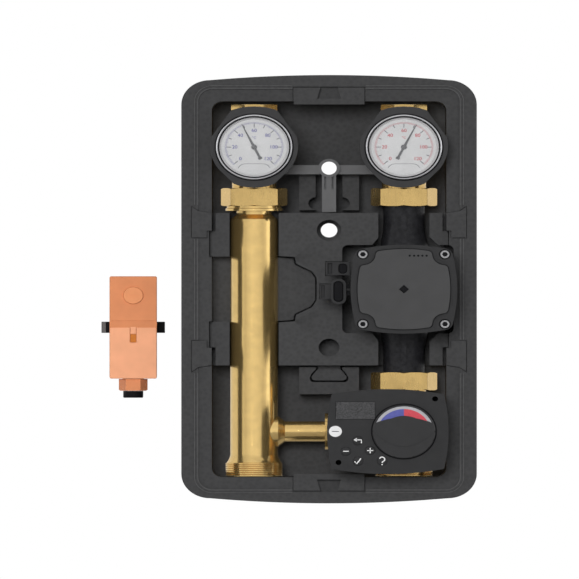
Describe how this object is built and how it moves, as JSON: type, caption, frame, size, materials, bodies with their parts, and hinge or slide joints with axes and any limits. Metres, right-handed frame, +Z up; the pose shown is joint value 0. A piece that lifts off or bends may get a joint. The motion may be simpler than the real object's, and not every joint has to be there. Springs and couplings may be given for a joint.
{
  "type": "underfloor heating mixing manifold",
  "caption": "Wall-hung underfloor heating mixing group in a grey foam shell: dial isolating valves, circulator pump, mixing valve with controller, brass return pipe and orange thermostat.",
  "frame": {"origin": "centre of the shell's back face, which is on the wall", "axes": "+Y into the wall, so the front faces -Y; +Z up; +X to the right as seen from the front"},
  "size_m": [0.3132, 0.176, 0.4206],
  "materials": {
    "expanded_foam": "dark grey moulded bead foam",
    "moulded_grey": "mid-grey moulded plastic",
    "brass": "machined and forged brass",
    "plated_steel": "plated",
    "bright_steel": "bright",
    "winding": "copper winding",
    "handle_plastic": "satin dark grey",
    "dial_white": "white dial",
    "clear_glass": "clear",
    "black_plastic": "black",
    "seal_rubber": "flat seal",
    "cast_iron": "black coated casting",
    "pump_body_plastic": "dark grey",
    "pump_cover_plastic": "dark grey",
    "impeller_composite": "moulded",
    "control_plastic": "dark grey, fine grain",
    "knob_plastic": "dark grey",
    "display_glass": "unlit display",
    "orange_plastic": "orange"
  },
  "bodies": {
    "case": {"rear_shell": "expanded_foam", "middle_insert": "expanded_foam", "valve_bracket": "moulded_grey", "return_valve_body": "brass", "flow_valve_body": "brass", "return_union_nut": "brass", "return_union_gasket": "seal_rubber", "flow_union_nut": "brass", "flow_union_gasket": "seal_rubber", "lower_union_nut": "brass", "lower_union_gasket": "seal_rubber", "pump_housing": "cast_iron", "pump_bearing": "bright_steel", "pump_stator": "winding", "pump_control_box": "pump_body_plastic", "pump_cover": "pump_cover_plastic", "pump_screw_1": "bright_steel", "pump_screw_2": "bright_steel", "pump_screw_3": "bright_steel", "pump_screw_4": "bright_steel", "pump_power_plug": "black_plastic", "pump_signal_plug": "black_plastic", "mixing_valve_body": "brass", "mixing_bonnet": "brass", "controller_base": "control_plastic", "controller_cover": "control_plastic", "controller_display": "display_glass", "return_pipe": "brass", "bypass_pipe": "brass", "check_valve_spring": "bright_steel"},
    "return_handle": {"return_valve_ball": "plated_steel", "return_valve_spindle": "brass", "return_valve_handle": "handle_plastic", "return_gauge_case": "bright_steel", "return_gauge_dial": "dial_white", "return_gauge_lens": "clear_glass"},
    "return_pointer": {"return_gauge_pointer": "black_plastic"},
    "flow_handle": {"flow_valve_ball": "plated_steel", "flow_valve_spindle": "brass", "flow_valve_handle": "handle_plastic", "flow_gauge_case": "bright_steel", "flow_gauge_dial": "dial_white", "flow_gauge_lens": "clear_glass"},
    "flow_pointer": {"flow_gauge_pointer": "black_plastic"},
    "pump_shaft": {"pump_rotor": "plated_steel", "pump_impeller": "impeller_composite"},
    "pump_button_cap": {"pump_button": "black_plastic"},
    "key_back_cap": {"key_back": "control_plastic"},
    "key_minus_cap": {"key_minus": "control_plastic"},
    "key_plus_cap": {"key_plus": "control_plastic"},
    "key_ok_cap": {"key_ok": "control_plastic"},
    "key_help_cap": {"key_help": "control_plastic"},
    "mixing_shaft": {"mixing_rotor": "plated_steel", "controller_knob": "knob_plastic"},
    "check_disc": {"check_valve_disc": "black_plastic"},
    "thermostat": {"thermostat_base": "orange_plastic", "thermostat_cover": "orange_plastic", "thermostat_gland": "orange_plastic", "thermostat_strap": "black_plastic"},
    "thermostat_knob": {"thermostat_dial": "orange_plastic"}
  },
  "joints": [
    {"name": "return_valve_turn", "type": "hinge", "parent": "case", "child": "return_handle", "pos_m": [-0.0625, -0.072, 0.1395], "axis": [0, 1, 0], "range_deg": [0, 90]},
    {"name": "return_gauge_needle", "type": "hinge", "parent": "return_handle", "child": "return_pointer", "pos_m": [-0.0625, -0.072, 0.1395], "axis": [0, 1, 0], "range_deg": [-110.3, 159.7]},
    {"name": "flow_valve_turn", "type": "hinge", "parent": "case", "child": "flow_handle", "pos_m": [0.0625, -0.072, 0.1395], "axis": [0, 1, 0], "range_deg": [0, 90]},
    {"name": "flow_gauge_needle", "type": "hinge", "parent": "flow_handle", "child": "flow_pointer", "pos_m": [0.0625, -0.072, 0.1395], "axis": [0, 1, 0], "range_deg": [-160.3, 109.7]},
    {"name": "pump_spin", "type": "hinge", "parent": "case", "child": "pump_shaft", "pos_m": [0.0625, -0.072, 0], "axis": [0, 1, 0], "continuous": true},
    {"name": "pump_button_press", "type": "slide", "parent": "case", "child": "pump_button_cap", "axis": [0, 1, 0], "range_m": [0, 0.0008], "stiffness_N_per_m": 600, "springref_m": -0.0005},
    {"name": "key_back_press", "type": "slide", "parent": "case", "child": "key_back_cap", "axis": [0, 1, 0], "range_m": [0, 0.0008], "stiffness_N_per_m": 600, "springref_m": -0.0005},
    {"name": "key_minus_press", "type": "slide", "parent": "case", "child": "key_minus_cap", "axis": [0, 1, 0], "range_m": [0, 0.0008], "stiffness_N_per_m": 600, "springref_m": -0.0005},
    {"name": "key_plus_press", "type": "slide", "parent": "case", "child": "key_plus_cap", "axis": [0, 1, 0], "range_m": [0, 0.0008], "stiffness_N_per_m": 600, "springref_m": -0.0005},
    {"name": "key_ok_press", "type": "slide", "parent": "case", "child": "key_ok_cap", "axis": [0, 1, 0], "range_m": [0, 0.0008], "stiffness_N_per_m": 600, "springref_m": -0.0005},
    {"name": "key_help_press", "type": "slide", "parent": "case", "child": "key_help_cap", "axis": [0, 1, 0], "range_m": [0, 0.0008], "stiffness_N_per_m": 600, "springref_m": -0.0005},
    {"name": "mixing_turn", "type": "hinge", "parent": "case", "child": "mixing_shaft", "pos_m": [0.0625, -0.072, -0.1397], "axis": [0, 1, 0], "range_deg": [-45, 45]},
    {"name": "check_valve_lift", "type": "slide", "parent": "case", "child": "check_disc", "axis": [0, 0, 1], "range_m": [0, 0.005], "stiffness_N_per_m": 120, "springref_m": -0.002, "deforming": ["check_valve_spring"]},
    {"name": "thermostat_lift_off", "type": "slide", "parent": "case", "child": "thermostat", "axis": [0, -1, 0], "range_m": [0, 0.05]},
    {"name": "thermostat_dial_turn", "type": "hinge", "parent": "thermostat", "child": "thermostat_knob", "pos_m": [-0.1634, 0, -0.0061], "axis": [0, 1, 0], "range_deg": [-135, 135]}
  ]
}
